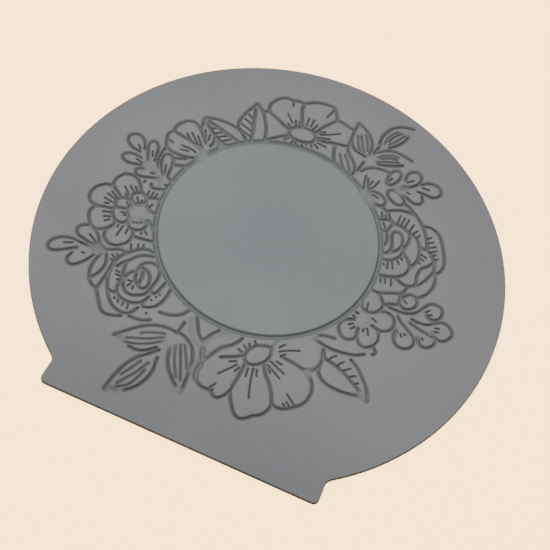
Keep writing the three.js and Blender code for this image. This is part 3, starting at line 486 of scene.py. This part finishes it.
def face_heights(points, contours, marks, valleys):
    """The height of the moulded face at each point, and the nearest contour sample."""
    inside, sample = contours.distances(points)
    depth, softness = fade(points)
    shoulder = contours.shoulder[sample] + FADED_SHOULDER * softness
    wall = smoothstep((inside + WALL_FOOT) / (WALL_FOOT + shoulder))
    pillow = smoothstep((inside + WALL_FOOT) / (WALL_FOOT + PILLOW_REACH))
    land = (1.0 - PILLOW_SHARE) * wall + PILLOW_SHARE * pillow
    heights = FACE_TOP - GROOVE_DEPTH * depth * (1.0 - land)
    rim = contours.on_rim[sample]
    short = np.clip(RIM_ROUNDING - inside, 0.0, RIM_ROUNDING)
    rounded = FACE_TOP - RIM_ROUNDING + np.sqrt(RIM_ROUNDING ** 2 - short ** 2)
    heights[rim] = rounded[rim]
    _, from_mark = marks.find(points)
    slope = (from_mark - MARK_FLOOR_HALF_WIDTH) / (MARK_HALF_WIDTH - MARK_FLOOR_HALF_WIDTH)
    heights -= MARK_DEPTH * (1.0 - smoothstep(slope))
    nearest, from_valley = valleys.nearest.find(points)
    heights -= valleys.depth[nearest] * (1.0 - smoothstep(from_valley / valleys.half_width[nearest]))
    return np.maximum(heights, BASE_TOP + GROOVE_SKIN), sample


# ---------------------------------------------------------------- triangulation

def rail_points(contours_list, contours):
    """Points that run along both sides of every contour, in lines parallel to it."""
    sparse = [(samples[::RAIL_STRIDE], inward[::RAIL_STRIDE]) for samples, inward, _ in contours_list]
    (rim, rim_inward), *grooves = sparse
    found = [rim + rail * rim_inward for rail in RIM_RAILS]
    for rail in GROOVE_RAILS:
        line = np.vstack([samples + rail * inward for samples, inward in grooves])
        inside, _ = contours.distances(line)
        found.append(line[np.abs(inside - rail) < RAIL_TOLERANCE])
    return np.vstack(found)


def mark_points(line):
    """Points along a hatch mark, beside it and round its ends."""
    forward = np.gradient(line, axis=0)
    forward /= np.linalg.norm(forward, axis=1)[:, None]
    sideways = np.column_stack([-forward[:, 1], forward[:, 0]])
    beside = [line + side * rail * sideways for rail in MARK_RAILS for side in (-1, 1)]
    ends = [
        end + reach * (math.cos(turn) * ahead + math.sin(turn) * np.array([-ahead[1], ahead[0]]))
        for end, ahead in ((line[0], -forward[0]), (line[-1], forward[-1]))
        for reach in (MARK_FLOOR_HALF_WIDTH, MARK_HALF_WIDTH)
        for turn in MARK_END_TURNS
    ]
    return np.vstack([line, *beside, np.array(ends)])


def staggered_grid(step):
    """A grid over the whole sheet, every other row moved along by half a step."""
    low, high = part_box("outer_field")
    xs = np.arange(low.x / MM, high.x / MM, step)
    ys = np.arange(low.y / MM, high.y / MM, step)
    return np.array([(x + step / 2 * (row % 2), y) for row, y in enumerate(ys) for x in xs])


def field_points(contours, marks, valleys):
    """A sparse grid over the lands and a finer one in the valleys, clear of the contours and the marks."""
    lands = staggered_grid(FIELD_STEP)
    fine = staggered_grid(VALLEY_GRID_STEP)
    _, from_valley = valleys.nearest.find(fine)
    dips = fine[from_valley < WIDEST_VALLEY + VALLEY_GRID_STEP]
    found = []
    for grid, clear in ((lands, CLEAR_OF_CONTOURS), (dips, CLEAR_OF_RAILS)):
        inside, _ = contours.distances(grid)
        _, from_mark = marks.find(grid)
        found.append(grid[(inside > clear) & (from_mark > clear)])
    return np.vstack(found)


def thinned(points):
    """The points with those dropped that lie too close to an earlier one."""
    cells = np.floor(points / CLOSEST_POINTS).astype(int)
    _, first = np.unique(cells, axis=0, return_index=True)
    return points[np.sort(first)]


def triangulated(points, edges):
    """The Delaunay triangles of the points, anticlockwise from above, and which point each corner was."""
    made = geometry.delaunay_2d_cdt([Vector(p) for p in points], edges, [], 0, CDT_EPSILON)
    vertices = np.array([tuple(v) for v in made[0]])
    triangles = np.array([face for face in made[2] if len(face) == 3])
    a, b, c = (vertices[triangles[:, corner]] for corner in range(3))
    turn = (b - a)[:, 0] * (c - a)[:, 1] - (b - a)[:, 1] * (c - a)[:, 0]
    triangles[turn < 0] = triangles[turn < 0][:, ::-1]
    return vertices, triangles, np.array([given[0] for given in made[3]])


def is_inside(point, starts, ends):
    """Whether a point lies inside closed outlines, by how many of their edges lie to its right."""
    level = (starts[:, 1] > point[1]) != (ends[:, 1] > point[1])
    a, b = starts[level], ends[level]
    crossing = a[:, 0] + (point[1] - a[:, 1]) * (b[:, 0] - a[:, 0]) / (b[:, 1] - a[:, 1])
    return np.count_nonzero(crossing > point[0]) % 2 == 1


def vertex_normals(vertices, triangles):
    """Normals of the whole face, so that the pieces shade as one skin where they meet."""
    a, b, c = (vertices[triangles[:, corner]] for corner in range(3))
    across = np.cross(b - a, c - a)
    total = np.zeros_like(vertices)
    for corner in range(3):
        np.add.at(total, triangles[:, corner], across)
    return total / np.maximum(np.linalg.norm(total, axis=1), SHORTEST_NORMAL)[:, None]


# ---------------------------------------------------------------- pieces

def add_piece(name, vertices, faces, loop_normals, material):
    """Makes a smooth shaded mesh object that stands for the CAD node of the same name."""
    mesh = bpy.data.meshes.new(name + "_moulded")
    mesh.from_pydata((vertices * MM).tolist(), [], faces)
    mesh.polygons.foreach_set("use_smooth", [True] * len(mesh.polygons))
    mesh.normals_split_custom_set(loop_normals)
    mesh.materials.append(material)
    piece = bpy.data.objects.new(name + "_moulded", mesh)
    bpy.context.scene.collection.objects.link(piece)
    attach(piece, "root")
    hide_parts(name)


def face_piece(name, vertices, normals, outward, triangles, material):
    """Makes one node's share of the face, closed by a skirt and by a flat bottom in the base sheet."""
    used, local = np.unique(triangles, return_inverse=True)
    top = local.reshape(-1, 3)
    count = len(used)
    edges = {(a, b) for t in top.tolist() for a, b in zip(t, t[1:] + t[:1])}
    rim = np.array(sorted(edge for edge in edges if edge[::-1] not in edges))
    on_rim, rim_edges = np.unique(rim, return_inverse=True)
    rim_edges = rim_edges.reshape(-1, 2)
    skirt = np.column_stack([rim[:, ::-1], rim_edges + count]).tolist()
    upper = vertices[used]
    lower = upper[on_rim]
    lower[:, 2] = BASE_TOP - BOND_OVERLAP
    corners, bottom, origins = triangulated(lower[:, :2], rim_edges.tolist())
    ends = lower[rim_edges, :2]
    kept = [is_inside(middle, ends[:, 0], ends[:, 1]) for middle in corners[bottom].mean(axis=1)]
    bottom = origins[bottom[kept]][:, ::-1] + count
    faces = top.tolist() + bottom.tolist() + skirt
    top_normals = normals[used][top.ravel()]
    bottom_normals = np.tile((0.0, 0.0, -1.0), (bottom.size, 1))
    sideways = np.vstack([outward[used], outward[used][on_rim]])
    skirt_normals = sideways[np.array(skirt).ravel()]
    loop_normals = np.vstack([top_normals, bottom_normals, skirt_normals]).tolist()
    add_piece(name, np.vstack([upper, lower]), faces, loop_normals, material)


def base_piece(rim, inward, material):
    """Makes the plain backing sheet: the rim's outline with a softened lower edge."""
    count = len(rim)
    vertices = np.vstack([
        np.column_stack([rim + inset * inward, np.full(count, height)]) for inset, height in BASE_EDGE_PROFILE
    ])
    after = [(i + 1) % count for i in range(count)]
    steps = len(BASE_EDGE_PROFILE) - 1
    walls = [
        (ring * count + i, ring * count + after[i], (ring + 1) * count + after[i], (ring + 1) * count + i)
        for ring in range(steps) for i in range(count)
    ]
    top_start = steps * count
    caps = [tuple(range(count))[::-1], tuple(range(top_start, top_start + count))]
    ring_normals = np.vstack([
        np.column_stack([-math.cos(tilt) * inward, np.full(count, -math.sin(tilt))])
        for tilt in map(math.radians, BASE_EDGE_TILTS)
    ])
    wall_normals = ring_normals[np.array(walls).ravel()]
    cap_normals = np.vstack([np.tile((0.0, 0.0, -1.0), (count, 1)), np.tile((0.0, 0.0, 1.0), (count, 1))])
    loop_normals = np.vstack([wall_normals, cap_normals]).tolist()
    add_piece(BASE, vertices, walls + caps, loop_normals, material)


# ---------------------------------------------------------------- materials

def add_node(tree, kind, inputs=None, **settings):
    """A new shader node with the given input values and settings."""
    node = tree.nodes.new(kind)
    for name, value in settings.items():
        setattr(node, name, value)
    for name, value in (inputs or {}).items():
        node.inputs[name].default_value = value
    return node


def noise(tree, place, kind):
    """A cloudy grey value over the object, by the scale, detail and roughness of its kind."""
    scale, detail, roughness = kind
    node = add_node(
        tree, "ShaderNodeTexNoise", {"Scale": scale, "Detail": detail, "Roughness": roughness}
    )
    tree.links.new(place.outputs["Object"], node.inputs["Vector"])
    return node.outputs["Fac"]


def colour_socket(sockets, name):
    """The colour socket of a mix node, which has one of each kind under the same name."""
    return next(s for s in sockets if s.name == name and s.type == "RGBA")


def mixed(tree, factor, low, high, from_min, from_max):
    """Two colours, mixed by where a value lies in the given range."""
    stretch = add_node(tree, "ShaderNodeMapRange", {"From Min": from_min, "From Max": from_max})
    tree.links.new(factor, stretch.inputs["Value"])
    mix = add_node(tree, "ShaderNodeMix", data_type="RGBA")
    tree.links.new(stretch.outputs["Result"], mix.inputs["Factor"])
    for name, value in (("A", low), ("B", high)):
        socket = colour_socket(mix.inputs, name)
        if isinstance(value, tuple):
            socket.default_value = value + (1.0,)
        else:
            tree.links.new(value, socket)
    return colour_socket(mix.outputs, "Result")


def shade(colour, factor):
    return tuple(c * factor for c in colour)


def grey(value):
    return (value, value, value)


def multiplied(tree, first, second):
    """Two colours multiplied."""
    node = add_node(tree, "ShaderNodeMix", {"Factor": 1.0}, data_type="RGBA", blend_type="MULTIPLY")
    tree.links.new(first, colour_socket(node.inputs, "A"))
    tree.links.new(second, colour_socket(node.inputs, "B"))
    return colour_socket(node.outputs, "Result")


def bump(tree, height, strength, distance):
    """A bump of the given strength and depth in millimetres."""
    node = add_node(tree, "ShaderNodeBump", {"Strength": strength, "Distance": distance * MM})
    tree.links.new(height, node.inputs["Height"])
    return node


def sheet_colour(tree, place, strength):
    """The colour over the sheet: cooler in the plain field and outside the wreath, with painted light and
    shade in these zones, and painted shade towards the tab.
    """
    centre = Vector((FIELD_CENTRE.x, FIELD_CENTRE.y, FACE_TOP)) * MM
    reach = add_node(tree, "ShaderNodeVectorMath", operation="DISTANCE")
    reach.inputs[1].default_value = centre
    tree.links.new(place.outputs["Object"], reach.inputs[0])
    tint_and_shade_zones = (FIELD_GREY, WREATH_GREY, SURROUND_GREY)
    field, wreath, surround = (shade(colour, strength) for colour in tint_and_shade_zones)
    to_wreath = [radius * MM for radius in WREATH_RANGE]
    to_surround = [radius * MM for radius in SURROUND_RANGE]
    inner = mixed(tree, reach.outputs["Value"], field, wreath, *to_wreath)
    whole = mixed(tree, reach.outputs["Value"], inner, surround, *to_surround)
    axes = add_node(tree, "ShaderNodeSeparateXYZ")
    tree.links.new(place.outputs["Object"], axes.inputs["Vector"])
    # Painted shade towards the tab: darker the nearer the tab
    tab = mixed(tree, axes.outputs["Y"], TAB_SHADE, grey(1.0), TAB_SHADE_FULL * MM, TAB_SHADE_FROM * MM)
    return multiplied(tree, whole, tab)


def silicone(name, strength):
    """Matt cast silicone: cloudy colour, a faint pale bloom, a fine moulded grain and a satin sheen, with
    painted shade in the recesses, deeper in the grooves and towards the tab.
    """
    material = bpy.data.materials.new(name)
    material.use_nodes = True
    tree = material.node_tree
    shader = tree.nodes["Principled BSDF"]
    shader.inputs["Specular IOR Level"].default_value = SPECULAR_LEVEL
    shader.inputs["Sheen Weight"].default_value = SHEEN_WEIGHT
    shader.inputs["Sheen Roughness"].default_value = SHEEN_ROUGHNESS
    shader.inputs["Sheen Tint"].default_value = SHEEN_TINT + (1.0,)
    place = add_node(tree, "ShaderNodeTexCoord")

    mottle = noise(tree, place, MOTTLE)
    cloudy = mixed(tree, noise(tree, place, CLOUDS), *map(grey, CLOUD_SHADES), *CLOUD_RANGE)
    bloom = mixed(tree, mottle, cloudy, grey(BLOOM_SHADE), *BLOOM_RANGE)
    speckled = mixed(tree, noise(tree, place, SPECKS), bloom, grey(SPECK_SHADE), *SPECK_RANGE)
    before_recess_shade = multiplied(tree, sheet_colour(tree, place, strength), speckled)
    axes = add_node(tree, "ShaderNodeSeparateXYZ")
    tree.links.new(place.outputs["Object"], axes.inputs["Vector"])
    # Painted shade: the colour darkens the lower the face lies in a groove
    clear_height = (FACE_TOP - CLEAR_DEPTH) * MM
    painted_depth_shade = mixed(tree, axes.outputs["Z"], GROOVE_FLOOR_SHADE, grey(1.0), BASE_TOP * MM, clear_height)
    # Painted shade: the colour darkens where ambient occlusion finds walls close by
    walls = add_node(tree, "ShaderNodeAmbientOcclusion", {"Distance": RECESS_REACH * MM})
    walls.samples = RECESS_SAMPLES
    painted_recess_shade = mixed(tree, walls.outputs["AO"], RECESS_SHADE_TINT, grey(1.0), RECESS_DARK_AT, RECESS_CLEAR_AT)
    tree.links.new(multiplied(tree, before_recess_shade, multiplied(tree, painted_depth_shade, painted_recess_shade)), shader.inputs["Base Color"])

    smoothest, roughest = ROUGHNESS_RANGE
    rough = add_node(tree, "ShaderNodeMapRange", {"To Min": smoothest, "To Max": roughest})
    tree.links.new(mottle, rough.inputs["Value"])
    tree.links.new(rough.outputs["Result"], shader.inputs["Roughness"])

    fine = bump(tree, noise(tree, place, GRAIN), GRAIN_STRENGTH, GRAIN_HEIGHT)
    broad = bump(tree, noise(tree, place, RIPPLE), RIPPLE_STRENGTH, RIPPLE_HEIGHT)
    tree.links.new(fine.outputs["Normal"], broad.inputs["Normal"])
    tree.links.new(broad.outputs["Normal"], shader.inputs["Normal"])
    return material


def pale_backdrop():
    """A cream floor that looks evenly lit. Its glow is for the camera alone and lights nothing."""
    material = bpy.data.materials.new("floor")
    material.use_nodes = True
    tree = material.node_tree
    shader = tree.nodes["Principled BSDF"]
    shader.inputs["Base Color"].default_value = FLOOR_COLOUR + (1.0,)
    shader.inputs["Roughness"].default_value = 1.0
    shader.inputs["Specular IOR Level"].default_value = 0.0
    shader.inputs["Emission Color"].default_value = FLOOR_GLOW + (1.0,)
    seen = add_node(tree, "ShaderNodeLightPath")
    glow = add_node(tree, "ShaderNodeMath", operation="MULTIPLY")
    glow.inputs[1].default_value = FLOOR_GLOW_STRENGTH
    tree.links.new(seen.outputs["Is Camera Ray"], glow.inputs[0])
    tree.links.new(glow.outputs["Value"], shader.inputs["Emission Strength"])
    return material


# ---------------------------------------------------------------- studio

def direction(azimuth, elevation):
    """From the object towards a place round it: azimuth 0 is -Y, 90 is +X."""
    a, e = math.radians(azimuth), math.radians(elevation)
    return Vector((math.sin(a) * math.cos(e), -math.cos(a) * math.cos(e), math.sin(e)))


def add_camera():
    """The view from above the tab's side, slightly rolled."""
    data = bpy.data.cameras.new("camera")
    data.lens = LENS
    camera = bpy.data.objects.new("camera", data)
    bpy.context.scene.collection.objects.link(camera)
    back = direction(CAMERA_AZIMUTH, CAMERA_ELEVATION)
    aimed = (-back).to_track_quat("-Z", "Y").to_matrix().to_4x4()
    rolled = aimed @ Matrix.Rotation(math.radians(CAMERA_ROLL), 4, "Z")
    place = (CAMERA_TARGET + back * CAMERA_DISTANCE) * MM
    camera.matrix_world = Matrix.Translation(place) @ rolled
    bpy.context.scene.camera = camera


def add_key_light():
    """One broad soft light, high on the left and a little behind the sheet."""
    data = bpy.data.lights.new("key", "AREA")
    data.shape = "DISK"
    data.size = KEY_SIZE
    data.energy = KEY_POWER
    light = bpy.data.objects.new("key", data)
    bpy.context.scene.collection.objects.link(light)
    toward = direction(KEY_AZIMUTH, KEY_ELEVATION)
    light.location = toward * KEY_DISTANCE
    light.rotation_euler = (-toward).to_track_quat("-Z", "Y").to_euler()


def add_world():
    """Soft sky light all round, which looks as pale as the floor beyond the floor's edge."""
    world = bpy.data.worlds.new("studio")
    world.use_nodes = True
    tree = world.node_tree
    sky = tree.nodes["Background"]
    sky.inputs["Color"].default_value = WORLD_COLOUR + (1.0,)
    sky.inputs["Strength"].default_value = WORLD_STRENGTH
    wall = add_node(tree, "ShaderNodeBackground", {"Strength": WORLD_GLOW_STRENGTH})
    wall.inputs["Color"].default_value = WORLD_GLOW + (1.0,)
    seen = add_node(tree, "ShaderNodeLightPath")
    either = add_node(tree, "ShaderNodeMixShader")
    tree.links.new(seen.outputs["Is Camera Ray"], either.inputs["Fac"])
    tree.links.new(sky.outputs["Background"], either.inputs[1])
    tree.links.new(wall.outputs["Background"], either.inputs[2])
    tree.links.new(either.outputs["Shader"], tree.nodes["World Output"].inputs["Surface"])
    bpy.context.scene.world = world


def add_studio():
    """The floor, the sky and the light."""
    half = FLOOR_SIZE / 2
    corners = [(-half, -half, 0.0), (half, -half, 0.0), (half, half, 0.0), (-half, half, 0.0)]
    mesh = bpy.data.meshes.new("floor")
    mesh.from_pydata(corners, [], [(0, 1, 2, 3)])
    mesh.materials.append(pale_backdrop())
    floor = bpy.data.objects.new("floor", mesh)
    bpy.context.scene.collection.objects.link(floor)
    add_world()
    add_key_light()


# ---------------------------------------------------------------- build

contours_list = all_contours()
contours = Contours(contours_list)
mark_lines = [mark_line(mark) for marks in MARKS.values() for mark in marks]
marks = NearestSample(np.vstack(mark_lines))
valleys = Valleys()

seeds = np.vstack([
    rail_points(contours_list, contours),
    *[mark_points(line) for line in mark_lines],
    field_points(contours, marks, valleys),
])
flat, triangles, _ = triangulated(thinned(seeds), [])
heights, sample = face_heights(flat, contours, marks, valleys)
vertices = np.column_stack([flat, heights])

inside, _ = contours.distances(flat[triangles].mean(axis=1))
outside_sheet = contours.on_rim[sample[triangles]].all(axis=1) & (inside < 0)
triangles = triangles[~outside_sheet]
normals = vertex_normals(vertices, triangles)
outward = np.column_stack([-contours.inward[sample], np.zeros(len(sample))])

depth_into_land, _ = contours.distances(flat)
innermost = depth_into_land[triangles].argmax(axis=1)
owner = contours.owner[sample[triangles[np.arange(len(triangles)), innermost]]]

face_material = silicone("face_silicone", 1.0)
# Painted shade: the base sheet's material is the same silicone painted darker
base_material = silicone("base_silicone", BASE_SHADE_STRENGTH)
for index, node in enumerate(FACE_NODES):
    face_piece(node, vertices, normals, outward, triangles[owner == index], face_material)
rim, rim_inward, _ = contours_list[0]
base_piece(rim[::RAIL_STRIDE], rim_inward[::RAIL_STRIDE], base_material)

add_studio()
add_camera()
